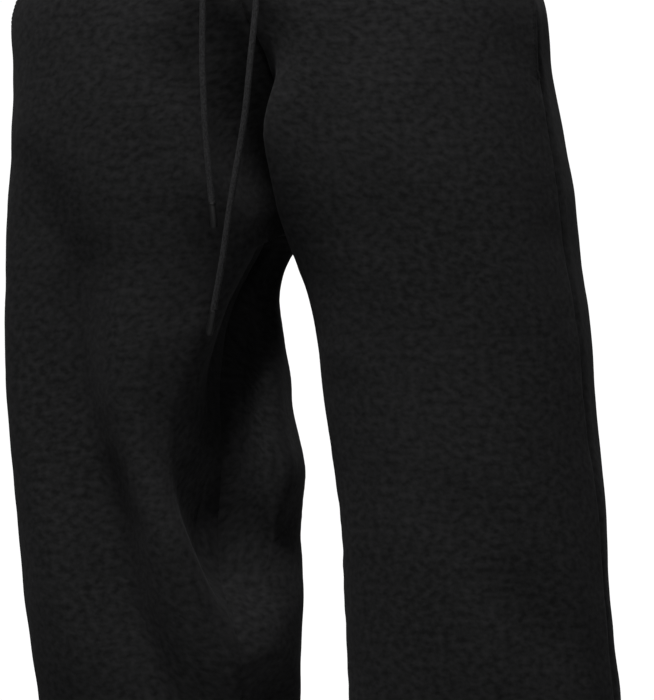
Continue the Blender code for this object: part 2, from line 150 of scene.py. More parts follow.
# name, height, centre x, half width, centre y, half depth, squareness, front end, back end, side
LEFT_SECTIONS = (
    ("waist seam", -0.045, 0.000, 0.187, -0.002, 0.120, 2.2, 90, 90, 4),
    ("gathers", -0.085, 0.000, 0.219, -0.001, 0.137, 2.3, 90, 90, 4),
    ("high hip", -0.130, 0.000, 0.240, -0.001, 0.145, 2.4, 88, 88, 5),
    ("hip", -0.185, 0.032, 0.212, -0.003, 0.144, 2.4, 78, 82, 6),
    ("low hip", -0.240, 0.074, 0.180, -0.005, 0.140, 2.4, 58, 68, 7),
    ("fork", -0.290, 0.112, 0.150, -0.007, 0.134, 2.4, 36, 46, 7),
    ("crotch", -0.345, 0.142, 0.127, -0.008, 0.125, 2.4, 6, -6, 7),
    ("upper thigh", -0.405, 0.159, 0.121, -0.010, 0.117, 2.3, 6, -6, 7),
    ("thigh", -0.476, 0.170, 0.119, -0.014, 0.109, 2.25, 7, -7, 7),
    ("lower thigh", -0.546, 0.181, 0.117, -0.018, 0.103, 2.2, 8, -8, 4),
    ("above the knee", -0.617, 0.187, 0.117, -0.021, 0.098, 2.2, 8, -8, 2),
    ("knee", -0.687, 0.191, 0.118, -0.021, 0.096, 2.2, 8, -8, 2),
    ("below the knee", -0.745, 0.194, 0.119, -0.016, 0.095, 2.2, 8, -8, 2),
    ("calf", -0.820, 0.196, 0.117, -0.008, 0.094, 2.2, 8, -8, 2),
    ("low calf", -0.890, 0.197, 0.110, -0.003, 0.090, 2.1, 8, -8, 2),
    ("blouse", -0.950, 0.197, 0.096, 0.003, 0.082, 2.1, 8, -8, 2),
    ("cuff seam", -0.990, 0.196, 0.048, 0.007, 0.052, 2.0, 8, -8, 2),
)
RIGHT_SECTIONS = (
    ("waist seam", -0.045, 0.000, 0.187, -0.002, 0.120, 2.2, 90, 90, 4),
    ("gathers", -0.085, 0.000, 0.219, -0.001, 0.137, 2.3, 90, 90, 4),
    ("high hip", -0.130, 0.000, 0.238, -0.001, 0.145, 2.4, 88, 88, 4),
    ("hip", -0.185, 0.027, 0.207, -0.002, 0.144, 2.4, 80, 82, 2),
    ("low hip", -0.240, 0.063, 0.173, -0.003, 0.140, 2.4, 64, 70, 0),
    ("fork", -0.290, 0.089, 0.149, -0.004, 0.134, 2.4, 42, 48, -3),
    ("crotch", -0.345, 0.112, 0.127, -0.005, 0.125, 2.4, 6, -6, -7),
    ("upper thigh", -0.405, 0.118, 0.119, -0.006, 0.118, 2.4, 15, -15, -12),
    ("thigh", -0.476, 0.114, 0.123, -0.010, 0.112, 2.3, 31, -31, -20),
    ("lower thigh", -0.546, 0.104, 0.129, -0.014, 0.107, 2.2, 41, -41, -26),
    ("above the knee", -0.617, 0.097, 0.128, -0.017, 0.104, 2.2, 46, -46, -30),
    ("knee", -0.687, 0.096, 0.122, -0.014, 0.100, 2.2, 45, -45, -30),
    ("below the knee", -0.745, 0.098, 0.117, 0.000, 0.097, 2.2, 42, -42, -28),
    ("calf", -0.820, 0.101, 0.111, 0.025, 0.094, 2.2, 38, -38, -26),
    ("low calf", -0.890, 0.103, 0.106, 0.045, 0.089, 2.1, 34, -34, -24),
    ("blouse", -0.950, 0.104, 0.094, 0.059, 0.081, 2.1, 30, -30, -22),
    ("cuff seam", -0.990, 0.105, 0.048, 0.066, 0.052, 2.0, 28, -28, -20),
)
CROTCH = 6
CROTCH_HEIGHT = LEFT_SECTIONS[CROTCH][1]
WAIST_SEAM = LEFT_SECTIONS[0][1]
LOW_HIP = LEFT_SECTIONS[4][1]
RING_POINTS = 900
# The rise seam from the front waist through the crotch and up the seat: x, y, lift.
RISE = (
    (0.000, -0.122, 0.0),
    (0.000, -0.137, 0.0),
    (0.006, -0.138, 0.0),
    (0.023, -0.098, 0.0),
    (0.036, -0.050, -0.002),
    (0.029, -0.006, 0.002),
    (0.015, 0.026, 0.017),
    (0.010, 0.104, 0.002),
    (0.006, 0.140, 0.0),
    (0.002, 0.150, 0.0),
    (0.000, 0.146, 0.0),
    (0.000, 0.135, 0.0),
    (0.000, 0.118, 0.0),
)
# Where the inseam leaves its place at the crotch, and over how many sections it comes forward.
INSEAM_SETTLES = {1: (6.0, 2.6), -1: (9.4, 1.9)}
RISE_REACH = 0.22
ROWS_ABOVE_CROTCH = 66
ROWS_BELOW_CROTCH = 144
PANEL_WIDTH = 0.34  # what one unit across a panel measures, for the reach of a fold
FOLD_SAMPLES = 112
FOLD_TAPER = 1.15  # how softly a fold ends
LIP_PLACE, LIP_WIDTH = 1.9, 0.75  # the raised lip beside a fold, in widths of the fold
DEEPEST = 0.050  # where hollows meet, the cloth sinks no further than this
RISE_STILL = 0.08  # share of a panel beside the rise over which the folds fade out
RISE_FADE = 0.085  # how far below the crotch they are whole again
WIDE_RIPPLE, FINE_RIPPLE = (0.075, 0.0022), (0.028, 0.0007)  # size and depth
SEAM_PULL, SEAM_PULL_WIDTH = 0.0017, 0.0042  # how a seam draws the cloth in beside it
SEAM_SWELL, SEAM_SWELL_PLACE, SEAM_SWELL_WIDTH = 0.0005, 0.009, 0.005
MOUTH_TOP, MOUTH_BOTTOM = -0.060, -0.205  # heights of the pocket mouth in the side seam
MOUTH_REACH = 0.020  # how far into the panel the mouth draws it
MOUTH_GAPE = {1: 0.0130, -1: 0.0028}
SEAM_COLUMNS = (0.0, 0.003, 0.007, 0.012, 0.019)  # shares of a panel, close beside a seam
MIDDLE_COLUMNS = 72

# The folds of each half: name, three places (across, height) on its line, width, depth, lip.
# across is 0 at the front rise or the inseam, 1 at the side seam and 2 at the back.
FOLDS = {
    -1: (
        ("outer trough", 0.74, -0.24, 0.48, -0.515, 0.21, -0.80, 0.032, -0.0490, 0.10),
        ("trough's foot", 0.46, -0.52, 0.35, -0.625, 0.15, -0.77, 0.021, -0.0180, 0.10),
        ("knee ridge", 0.49, -0.38, 0.27, -0.560, -0.10, -0.700, 0.029, 0.0215, 0.0),
        ("thigh hollow", 0.33, -0.42, 0.13, -0.565, -0.16, -0.650, 0.047, -0.0310, 0.0),
        ("hollow's foot", 0.36, -0.46, 0.15, -0.582, -0.13, -0.655, 0.022, -0.0090, 0.0),
        ("inner knee", -0.36, -0.555, -0.12, -0.615, 0.08, -0.662, 0.038, -0.0240, 0.0),
        ("inner hollow", 0.03, -0.32, 0.00, -0.450, -0.04, -0.58, 0.048, -0.0210, 0.0),
        ("inner corner", -0.11, -0.39, -0.12, -0.500, -0.10, -0.61, 0.020, 0.0085, 0.0),
        ("inner edge", -0.44, -0.36, -0.44, -0.470, -0.40, -0.60, 0.045, 0.0090, 0.0),
        ("groin foot", 0.07, -0.19, 0.06, -0.270, 0.05, -0.35, 0.022, -0.0130, 0.0),
        ("groin shade", 0.29, -0.15, 0.22, -0.240, 0.15, -0.35, 0.034, -0.0180, 0.0),
        ("below knee", -0.10, -0.70, -0.10, -0.735, -0.09, -0.79, 0.026, -0.0140, 0.1),
        ("groin hollow", 0.17, -0.08, 0.14, -0.19, 0.13, -0.30, 0.040, -0.0170, 0.0),
        ("inner side", -0.28, -0.54, -0.26, -0.68, -0.28, -0.84, 0.060, -0.0050, 0.0),
        ("outer side", 1.00, -0.20, 1.00, -0.40, 1.00, -0.56, 0.080, -0.0022, 0.0),
        ("inseam ridge", -0.03, -0.40, -0.05, -0.48, -0.05, -0.56, 0.009, 0.0022, 0.0),
        ("inner line", -0.15, -0.42, -0.13, -0.46, -0.10, -0.51, 0.008, 0.0020, 0.0),
        ("seat", 1.90, -0.34, 1.66, -0.400, 1.34, -0.41, 0.026, -0.0100, 0.4),
        ("seat under", 1.80, -0.40, 1.58, -0.440, 1.40, -0.47, 0.020, -0.0050, 0.3),
        ("knee back", 1.12, -0.66, 1.34, -0.645, 1.58, -0.62, 0.024, -0.0150, 0.4),
        ("knee back low", 1.18, -0.70, 1.38, -0.690, 1.56, -0.67, 0.017, -0.0080, 0.4),
        ("calf back", 1.12, -0.755, 1.36, -0.75, 1.62, -0.77, 0.024, -0.0100, 0.4),
        ("stack", 0.05, -0.90, 0.45, -0.915, 0.90, -0.89, 0.017, -0.0080, 0.5),
        ("stack low", 0.30, -0.945, 0.62, -0.955, 0.98, -0.940, 0.011, -0.0050, 0.5),
        ("stack back", 1.10, -0.91, 1.45, -0.895, 1.90, -0.91, 0.016, -0.0080, 0.5),
        ("shin", 0.62, -0.78, 0.45, -0.82, 0.15, -0.84, 0.022, -0.0060, 0.4),
    ),
    1: (
        ("outer side", 0.98, -0.30, 0.98, -0.60, 0.98, -0.92, 0.085, -0.0052, 0.0),
        ("valley", 0.09, -0.13, 0.13, -0.250, 0.19, -0.37, 0.030, -0.0150, 0.10),
        ("thigh", 0.64, -0.13, 0.53, -0.230, 0.42, -0.33, 0.055, 0.0045, 0.0),
        ("hip hollow", 0.34, -0.20, 0.36, -0.320, 0.30, -0.44, 0.034, -0.0035, 0.0),
        ("thigh side", 0.30, -0.44, 0.27, -0.500, 0.28, -0.60, 0.040, -0.0030, 0.0),
        ("knee side", 0.46, -0.53, 0.51, -0.570, 0.60, -0.62, 0.030, -0.0035, 0.3),
        ("low side", 0.60, -0.60, 0.70, -0.665, 0.82, -0.73, 0.027, -0.0095, 0.3),
        ("seat", 1.88, -0.35, 1.62, -0.395, 1.28, -0.42, 0.026, -0.0100, 0.4),
        ("seat under", 1.82, -0.42, 1.60, -0.450, 1.44, -0.46, 0.019, -0.0050, 0.3),
        ("knee back", 1.20, -0.64, 1.50, -0.655, 1.78, -0.64, 0.024, -0.0120, 0.4),
        ("knee back low", 1.34, -0.70, 1.54, -0.700, 1.74, -0.72, 0.017, -0.0060, 0.4),
        ("calf back", 1.24, -0.77, 1.50, -0.785, 1.82, -0.76, 0.024, -0.0080, 0.4),
        ("stack", 0.12, -0.90, 0.50, -0.920, 0.92, -0.90, 0.017, -0.0080, 0.5),
        ("stack low", 0.05, -0.945, 0.35, -0.955, 0.70, -0.948, 0.011, -0.0050, 0.5),
        ("stack back", 1.08, -0.90, 1.50, -0.915, 1.88, -0.89, 0.016, -0.0080, 0.5),
        ("shin", 0.30, -0.80, 0.52, -0.83, 0.80, -0.82, 0.022, -0.0050, 0.4),
    ),
}
# The gathers under the waistband, the same on both halves: across, depth, width, reach down.
GATHERS = (
    (0.07, 0.0030, 0.018, 0.060),
    (0.16, 0.0024, 0.014, 0.045),
    (0.27, 0.0034, 0.020, 0.075),
    (0.39, 0.0022, 0.015, 0.050),
    (0.50, 0.0036, 0.021, 0.085),
    (0.63, 0.0026, 0.016, 0.055),
    (0.74, 0.0032, 0.018, 0.070),
    (0.88, 0.0024, 0.015, 0.045),
    (1.11, 0.0030, 0.018, 0.065),
    (1.22, 0.0024, 0.015, 0.050),
    (1.34, 0.0036, 0.021, 0.085),
    (1.47, 0.0024, 0.016, 0.055),
    (1.58, 0.0034, 0.019, 0.075),
    (1.70, 0.0026, 0.016, 0.050),
    (1.81, 0.0034, 0.020, 0.080),
    (1.92, 0.0022, 0.014, 0.045),
)
GATHER_FADE_IN = 0.010
GATHER_LEAN = 1.0  # how fast a gather runs towards the panel's middle, by metre down


def between(rows, place):
    """The values of a table at a place between its rows, on a smooth curve through them."""
    table = np.array(rows, float)
    last = len(table) - 1
    start = min(int(place), last - 1)
    part = place - start
    a, b, c, d = (table[min(max(start + step, 0), last)] for step in (-1, 0, 1, 2))
    slope_b = (c - a) / 2 if start > 0 else c - b
    slope_c = (d - b) / 2 if start < last - 1 else c - b
    square, cube = part * part, part**3
    return (
        (2 * cube - 3 * square + 1) * b
        + (cube - 2 * square + part) * slope_b
        + (3 * square - 2 * cube) * c
        + (cube - square) * slope_c
    )


def slope_at(height):
    """The waist's slope, which fades out down to the low hip."""
    return WAIST_SLOPE * max(0.0, min(1.0, (height - LOW_HIP) / (WAIST_SEAM - LOW_HIP)))


def oval(values, degrees):
    """Points of a section's oval. 0 degrees is its innermost point, 90 its front, 180 its side."""
    height, centre_x, half_width, centre_y, half_depth, square = values[:6]
    turn = np.radians(degrees)
    power = 2.0 / square
    x = centre_x - half_width * np.sign(np.cos(turn)) * np.abs(np.cos(turn)) ** power
    y = centre_y - half_depth * np.sign(np.sin(turn)) * np.abs(np.sin(turn)) ** power
    return np.column_stack([x, y, height + slope_at(height) * y])


def at_shares(points, shares):
    """Points at these shares of a line's length."""
    steps = np.linalg.norm(np.diff(points, axis=0), axis=1)
    reach = np.concatenate([[0], np.cumsum(steps)])
    wanted = np.asarray(shares) * reach[-1]
    return np.column_stack([np.interp(wanted, reach, points[:, i]) for i in range(3)])


def unit(vectors):
    return vectors / np.maximum(np.linalg.norm(vectors, axis=-1, keepdims=True), 1e-12)


def column_shares():
    """Where a panel's columns lie, closer together beside its seams."""
    near = np.array(SEAM_COLUMNS)
    middle = np.linspace(near[-1], 1 - near[-1], MIDDLE_COLUMNS + 1)
    return np.concatenate([near[:-1], middle, 1 - near[-2::-1]])


def section_ring(side, sections, place, shares):
    """The front and back panels' points at one place down the leg, from the inner front round."""
    values = between([row[1:] for row in sections], place)
    front_end, back_end, side_turn = values[6:]
    if place >= CROTCH:
        back_end = -front_end
    degrees = np.linspace(front_end, 360 - back_end, RING_POINTS)
    points = oval(values, degrees)
    at_side = int(np.argmin(np.abs(degrees - (180 - side_turn))))
    across = np.concatenate(
        [np.linspace(0, 1, at_side + 1), np.linspace(1, 2, len(degrees) - at_side)[1:]]
    )
    points[:, 0] *= side
    if place <= CROTCH:
        targets = []
        for along_rise in (place, len(RISE) - 1 - place):
            x, y, lift = between(RISE, along_rise)
            targets.append(np.array([x, y, values[0] + slope_at(values[0]) * y + lift]))
    else:
        crotch = between([row[1:] for row in sections], CROTCH)
        start = oval(crotch, crotch[6:7])[0] * (side, 1, 1)
        x, y, lift = RISE[CROTCH]
        away = np.array([x * side, y, crotch[0] + slope_at(crotch[0]) * y + lift]) - start
        leaves, over = INSEAM_SETTLES[side]
        part = min(max((place - leaves) / over, 0.0), 1.0)
        settled = away * (1 - part) ** 2 * (1 + 2 * part)
        targets = [points[0] + settled, points[-1] + settled]
    near_front = np.clip(1 - across / RISE_REACH, 0, 1) ** 2
    near_back = np.clip(1 - (2 - across) / RISE_REACH, 0, 1) ** 2
    points += np.outer(near_front, targets[0] - points[0])
    points += np.outer(near_back, targets[1] - points[-1])
    return at_shares(points[: at_side + 1], shares), at_shares(points[at_side:], shares)


def outward(front, back, side):
    """Directions out of the cloth at each point of both panels, shared along their seams."""
    whole = np.concatenate([front, back[:, 1:]], axis=1)
    down = np.gradient(whole, axis=0)
    along = np.gradient(whole, axis=1)
    crotch = ROWS_ABOVE_CROTCH
    around = whole[crotch:, 1] - whole[crotch:, -2]
    along[crotch:, 0] = along[crotch:, -1] = around
    normal = unit(np.cross(down, along) * side)
    for edge in (0, -1):
        normal[: crotch - 1, edge, 0] = 0
    normal[crotch - 1 : crotch + 2, 0] = normal[crotch - 1 : crotch + 2, -1] = (0, 0, -1)
    for _ in range(3):
        middle = normal[1:-1].copy()
        middle += 0.5 * (normal[:-2] + normal[2:])
        normal[1:-1] = middle
        normal = unit(normal)
    seam = front.shape[1]
    return normal[:, :seam], normal[:, seam - 1 :]


def fold_heights(side, across, height):
    """How far the cloth stands out of its section because of the folds."""
    total = np.zeros_like(across)
    along = np.linspace(0, 1, FOLD_SAMPLES + 1)[:, None, None]
    a, b, c = (1 - along) * (1 - 2 * along), 4 * along * (1 - along), along * (2 * along - 1)
    for _, xa, za, xb, zb, xc, zc, width, depth, lip in FOLDS[side]:
        line_across, line_height = a * xa + b * xb + c * xc, a * za + b * zb + c * zc
        apart = np.hypot((across - line_across) * PANEL_WIDTH, height - line_height)
        beyond = np.hypot((across - 2 - line_across) * PANEL_WIDTH, height - line_height)
        apart = np.where(height < CROTCH_HEIGHT, np.minimum(apart, beyond), apart)
        travelled = np.argmin(apart, axis=0) / FOLD_SAMPLES
        off = np.min(apart, axis=0) / width
        shape = np.exp(-(off**2)) - lip * np.exp(-(((off - LIP_PLACE) / LIP_WIDTH) ** 2))
        total += depth * np.sin(np.pi * travelled) ** FOLD_TAPER * shape
    total = np.where(total < 0, DEEPEST * np.tanh(total / DEEPEST), total)
    # The two halves share the rise seam, so no fold of one half moves it.
    from_rise = np.clip(np.minimum(across, 2 - across) / RISE_STILL, 0, 1)
    above = np.clip((height - CROTCH_HEIGHT) / RISE_FADE + 1, 0, 1)
    return total * (1 - above * (1 - from_rise**2 * (3 - 2 * from_rise)))


def gather_heights(across, height):
    """The short upright folds where the legs are gathered into the waistband."""
    total = np.zeros_like(across)
    below = np.clip(WAIST_SEAM - height, 0, None)
    for place, depth, width, reach in GATHERS:
        fade = np.clip(below / GATHER_FADE_IN, 0, 1) * np.exp(-((below / reach) ** 1.5))
        lean = place + GATHER_LEAN * (place - 1) * below
        off = (across - lean) * PANEL_WIDTH / (width * 0.62)
        total += depth * fade * (np.exp(-(off**2)) - 0.30)
    return total


def ripple(points, size, depth):
    """Smooth uneven swelling of the cloth, the same at the same place every time."""
    flat = points.reshape(-1, 3)
    values = [noise.noise(Vector(p) / size) for p in flat]
    return depth * np.array(values).reshape(points.shape[:-1])


def seam_dips(points, along):
    """How far the cloth is pulled in beside a seam: most on it, unevenly down its length."""
    steps = np.linalg.norm(np.diff(points, axis=1), axis=2)
    reach = np.concatenate([np.zeros((len(points), 1)), np.cumsum(steps, axis=1)], axis=1)
    total = np.zeros(points.shape[:2])
    for edge, apart in ((0, reach), (1, reach[:, -1:] - reach)):
        uneven = np.array([noise.noise(Vector((v / 0.013, edge * 7.3, 2.0))) for v in along])
        wide = np.array([noise.noise(Vector((v / 0.045, edge * 3.1, 5.0))) for v in along])
        pull = SEAM_PULL + 0.0006 * uneven + 0.0004 * wide
        total -= pull[:, None] * np.exp(-((apart / SEAM_PULL_WIDTH) ** 2))
        swell = SEAM_SWELL + 0.0007 * uneven
        total += swell[:, None] * np.exp(
            -(((apart - SEAM_SWELL_PLACE) / SEAM_SWELL_WIDTH) ** 2)
        )
    return total


def open_mouth(panel, out, heights, gape):
    """Draws a front panel's side edge forward and a little out, where its pocket opens."""
    part = np.clip((MOUTH_TOP - heights) / (MOUTH_TOP - MOUTH_BOTTOM), 0, 1)
    opened = gape * np.sin(np.pi * part) ** 0.8
    steps = np.linalg.norm(np.diff(panel, axis=1), axis=2)
    reach = np.concatenate([np.zeros((len(panel), 1)), np.cumsum(steps, axis=1)], axis=1)
    near = np.exp(-(((reach[:, -1:] - reach) / MOUTH_REACH) ** 2)) * opened[:, None]
    back = unit(panel[:, -1] - panel[:, -7])
    panel += near[:, :, None] * (0.4 * out - back[:, None, :])


def grid_faces(rows, columns, wrap_rows=False, wrap_columns=False):
    faces = []
    for i in range(rows if wrap_rows else rows - 1):
        for j in range(columns if wrap_columns else columns - 1):
            i2, j2 = (i + 1) % rows, (j + 1) % columns
            faces.append((i * columns + j, i2 * columns + j, i2 * columns + j2, i * columns + j2))
    return faces


def finish_piece(name, mesh, finish, uv=None):
    """Gives a closed mesh its cloth coordinates and finish, and turns its faces outwards."""
    if uv is not None:
        layer = mesh.uv_layers.new(name="cloth")
        corner = np.empty(len(mesh.loops), np.int32)
        mesh.loops.foreach_get("vertex_index", corner)
        layer.data.foreach_set("uv", uv[corner].astype(np.float32).ravel())
    shape = bmesh.new()
    shape.from_mesh(mesh)
    bmesh.ops.recalc_face_normals(shape, faces=shape.faces)
    if shape.calc_volume(signed=True) < 0:
        bmesh.ops.reverse_faces(shape, faces=shape.faces)
    shape.to_mesh(mesh)
    shape.free()
    mesh.materials.append(finish)
    mesh.shade_smooth()
    mesh.set_sharp_from_angle(angle=math.radians(62))
    piece = bpy.data.objects.new(name, mesh)
    bpy.context.scene.collection.objects.link(piece)
    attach(piece, "root")
    return piece


def cloth_piece(name, outer, inner, uv, finish):
    """A closed sheet of cloth between two grids of points."""
    rows, columns = outer.shape[:2]
    count = rows * columns
    faces = grid_faces(rows, columns)
    faces += [tuple(count + v for v in reversed(face)) for face in faces]
    top = list(range(columns))
    right = [i * columns + columns - 1 for i in range(rows)]
    bottom = [(rows - 1) * columns + j for j in reversed(range(columns))]
    left = [i * columns for i in reversed(range(rows))]
    edge = top[:-1] + right[:-1] + bottom[:-1] + left[:-1]
    for a, b in zip(edge, edge[1:] + edge[:1]):
        faces.append((a, b, count + b, count + a))
    mesh = bpy.data.meshes.new(name)
    points = np.concatenate([outer.reshape(-1, 3), inner.reshape(-1, 3)])
    mesh.from_pydata(points.tolist(), [], faces)
    both = np.concatenate([uv.reshape(-1, 2), uv.reshape(-1, 2)])
    return finish_piece(name, mesh, finish, both)


def knit_finish(name, dark, light, grain, fine, bump, coordinates="UV"):
    """A dull knitted cloth: clumped nap in short level streaks over fine upright stitches."""
    made = bpy.data.materials.new(name)
    made.use_nodes = True
    nodes, links = made.node_tree.nodes, made.node_tree.links
    shader = nodes["Principled BSDF"]
    place = nodes.new("ShaderNodeTexCoord")

    def pattern(scale, detail, rough):
        mapping = nodes.new("ShaderNodeMapping")
        mapping.inputs["Scale"].default_value = scale
        links.new(place.outputs[coordinates], mapping.inputs["Vector"])
        cloud = nodes.new("ShaderNodeTexNoise")
        cloud.inputs["Scale"].default_value = 1.0
        cloud.inputs["Detail"].default_value = detail
        cloud.inputs["Roughness"].default_value = rough
        links.new(mapping.outputs[0], cloud.inputs["Vector"])
        return cloud.outputs["Fac"]

    clumps = pattern(grain, 1.0, 0.45)
    fibres = pattern(fine, 2.0, 0.6)
    patches = pattern((9.0, 7.0, 8.0), 1.0, 0.5)
    mixed = nodes.new("ShaderNodeMath")
    mixed.operation = "MULTIPLY_ADD"
    links.new(fibres, mixed.inputs[0])
    mixed.inputs[1].default_value = 0.30
    links.new(clumps, mixed.inputs[2])
    worn = nodes.new("ShaderNodeMath")
    worn.operation = "MULTIPLY_ADD"
    links.new(patches, worn.inputs[0])
    worn.inputs[1].default_value = 0.22
    links.new(mixed.outputs[0], worn.inputs[2])
    ramp = nodes.new("ShaderNodeValToRGB")
    ramp.color_ramp.elements[0].position = 0.52
    ramp.color_ramp.elements[0].color = (*dark, 1.0)
    ramp.color_ramp.elements[1].position = 1.0
    ramp.color_ramp.elements[1].color = (*light, 1.0)
    links.new(worn.outputs[0], ramp.inputs["Fac"])
    links.new(ramp.outputs["Color"], shader.inputs["Base Color"])
    raised = nodes.new("ShaderNodeBump")
    raised.inputs["Strength"].default_value = bump
    raised.inputs["Distance"].default_value = 0.0006
    links.new(mixed.outputs[0], raised.inputs["Height"])
    links.new(raised.outputs["Normal"], shader.inputs["Normal"])
    shader.inputs["Roughness"].default_value = 0.96
    shader.inputs["Specular IOR Level"].default_value = 0.08
    shader.inputs["Sheen Weight"].default_value = 0.03
    shader.inputs["Sheen Roughness"].default_value = 0.55
    shader.inputs["Sheen Tint"].default_value = (0.5, 0.5, 0.52, 1.0)
    return made


fleece = knit_finish(
    "black fleece",
    dark=(0.0069, 0.0069, 0.0071),
    light=(0.0182, 0.0182, 0.0186),
    grain=(148.0, 190.0, 1.0),
    fine=(900.0, 520.0, 1.0),
    bump=0.55,
)


def make_leg(side, sections, word):
    """The front and back panel of one half. Returns their points and directions, for the pocket."""
    places = np.concatenate(
        [
            np.linspace(0, CROTCH, ROWS_ABOVE_CROTCH + 1),
            np.linspace(CROTCH, len(sections) - 1, ROWS_BELOW_CROTCH + 1)[1:],
        ]
    )
    shares = column_shares()
    rings = [section_ring(side, sections, place, shares) for place in places]
    front = np.array([ring[0] for ring in rings])
    back = np.array([ring[1] for ring in rings])
    heights = np.array([between([[row[1]] for row in sections], place)[0] for place in places])
    out_front, out_back = outward(front, back, side)
    level = heights[:, None] * np.ones((1, len(shares)))
    for panel, out, first in ((front, out_front, 0.0), (back, out_back, 1.0)):
        across = first + shares[None, :] * np.ones((len(panel), 1))
        stands = fold_heights(side, across, level) + gather_heights(across, level)
        stands += ripple(panel, *WIDE_RIPPLE) + ripple(panel, *FINE_RIPPLE)
        panel += out * stands[:, :, None]
    out_front, out_back = outward(front, back, side)
    made = []
    for name, panel, out in (("front", front, out_front), ("back", back, out_back)):
        panel += out * seam_dips(panel, heights)[:, :, None]
        flat_panel = panel.copy()
        if name == "front":
            open_mouth(panel, out, heights, MOUTH_GAPE[side])
        steps = np.linalg.norm(np.diff(panel, axis=1), axis=2)
        along = np.concatenate([np.zeros((len(panel), 1)), np.cumsum(steps, axis=1)], axis=1)
        from_side = along - along[:, -1:] if name == "front" else along
        uv = np.stack([from_side * side + 0.6 * side, level], axis=2)
        piece = cloth_piece(f"{name}_panel_{word}", panel, panel - out * CLOTH, uv, fleece)
        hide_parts(f"{name}_{word}")
        made.append((piece, panel, out, flat_panel))
    return made


left_half = make_leg(1, LEFT_SECTIONS, "left")
right_half = make_leg(-1, RIGHT_SECTIONS, "right")

# ----------------------------------------
# The pocket bags and mouths. A bag of thin plain knit hangs inside each hip behind the front panel
# and opens in the side seam. The mouth has one row of topstitching and a bar tack at each end.
# ----------------------------------------

POCKET_GAP = 0.0020
POCKET_WALL = 0.0014
POCKET_ROWS = slice(7, 60, 2)
POCKET_START = 7 / 12  # share of the front panel where the bag's front edge lies
POCKET_BEYOND = 6  # columns of the back panel that the bag reaches past the seam
STITCH_LENGTH = 0.0029
STITCH_PITCH = 0.0037
THREAD_RADIUS = 0.00034
THREAD_LIFT = 0.00012
TOPSTITCH_FROM_EDGE = 0.0095
TACK_FROM_EDGE, TACK_INSIDE = 0.0045, 0.0080
TACK_STITCHES, TACK_PITCH, TACK_LENGTH = 10, 0.00062, 0.0075
BAG_WIDTH = 0.18

lining = knit_finish(
    "black pocket lining",
    dark=(0.0060, 0.0060, 0.0063),
    light=(0.0150, 0.0150, 0.0155),
    grain=(420.0, 300.0, 1.0),
    fine=(1500.0, 800.0, 1.0),
    bump=0.35,
)
thread = knit_finish(
    "black thread",
    dark=(0.0060, 0.0060, 0.0063),
    light=(0.0190, 0.0190, 0.0195),
    grain=(2200.0, 2200.0, 900.0),
    fine=(5200.0, 5200.0, 5200.0),
    bump=0.25,
    coordinates="Object",
)


def pick(piece, wanted):
    """Selects the faces of a piece in edit mode that the test wants, and nothing else."""
    bpy.ops.mesh.select_mode(type="FACE")
    bpy.ops.mesh.select_all(action="DESELECT")
    shape = bmesh.from_edit_mesh(piece.data)
    for face in shape.faces:
        face.select_set(wanted(face))
    bmesh.update_edit_mesh(piece.data)


def begin(add, **sizes):
    """Adds a primitive, alone in the selection and in edit mode."""
    bpy.ops.object.select_all(action="DESELECT")
    add(**sizes)
    bpy.ops.object.mode_set(mode="EDIT")
    return bpy.context.object


def one_stitch():
    """The points and faces of one stitch of unit length and radius along Z, with rounded ends."""
    piece = begin(bpy.ops.mesh.primitive_cylinder_add, vertices=6, radius=1, depth=0.8)
    pick(piece, lambda face: abs(face.normal.z) > 0.9)
    bpy.ops.mesh.inset(thickness=0.45, depth=0.10, use_individual=True)
    bpy.ops.object.mode_set(mode="OBJECT")
    points = np.array([tuple(v.co) for v in piece.data.vertices])
    faces = [tuple(face.vertices) for face in piece.data.polygons]
    bpy.data.objects.remove(piece)
    return points, faces


STITCH_POINTS, STITCH_FACES = one_stitch()


def stitches(name, places, alongs, ways, length):
    """One piece of thread: a copy of the stitch at each place, laid along the cloth."""
    points, faces = [], []
    for place, along, way in zip(places, alongs, ways):
        across = unit(np.cross(along, way))
        turn = np.array([across, unit(np.cross(along, across)), along])
        size = (THREAD_RADIUS, THREAD_RADIUS, length)
        start = len(points) * len(STITCH_POINTS)
        points.append(STITCH_POINTS * size @ turn + place + way * THREAD_LIFT)
        faces += [tuple(start + v for v in face) for face in STITCH_FACES]
    mesh = bpy.data.meshes.new(name)
    mesh.from_pydata(np.concatenate(points).tolist(), [], faces)
    piece = finish_piece(name, mesh, thread)
    return piece


def along_line(line, ways, pitch):
    """Places at even steps along a line on the cloth, with its direction and the way out there."""
    steps = np.linalg.norm(np.diff(line, axis=0), axis=1)
    reach = np.concatenate([[0], np.cumsum(steps)])
    at = np.arange(pitch / 2, reach[-1], pitch)

    def read(values, where):
        return np.column_stack([np.interp(where, reach, values[:, i]) for i in range(3)])

    return read(line, at), unit(read(line, at + 0.001) - read(line, at - 0.001)), read(ways, at)


def beside_edge(panel, out, from_edge):
    """A line down the mouth at a distance from the panel's side edge, and the way out of it."""
    line, ways = [], []
    for row, way in zip(panel, out):
        if MOUTH_BOTTOM <= row[-1, 2] <= MOUTH_TOP:
            steps = np.linalg.norm(np.diff(row, axis=0), axis=1)
            reach = np.concatenate([[0], np.cumsum(steps)])
            at = reach[-1] - from_edge
            line.append([np.interp(at, reach, row[:, i]) for i in range(3)])
            ways.append([np.interp(at, reach, way[:, i]) for i in range(3)])
    return np.array(line), unit(np.array(ways))


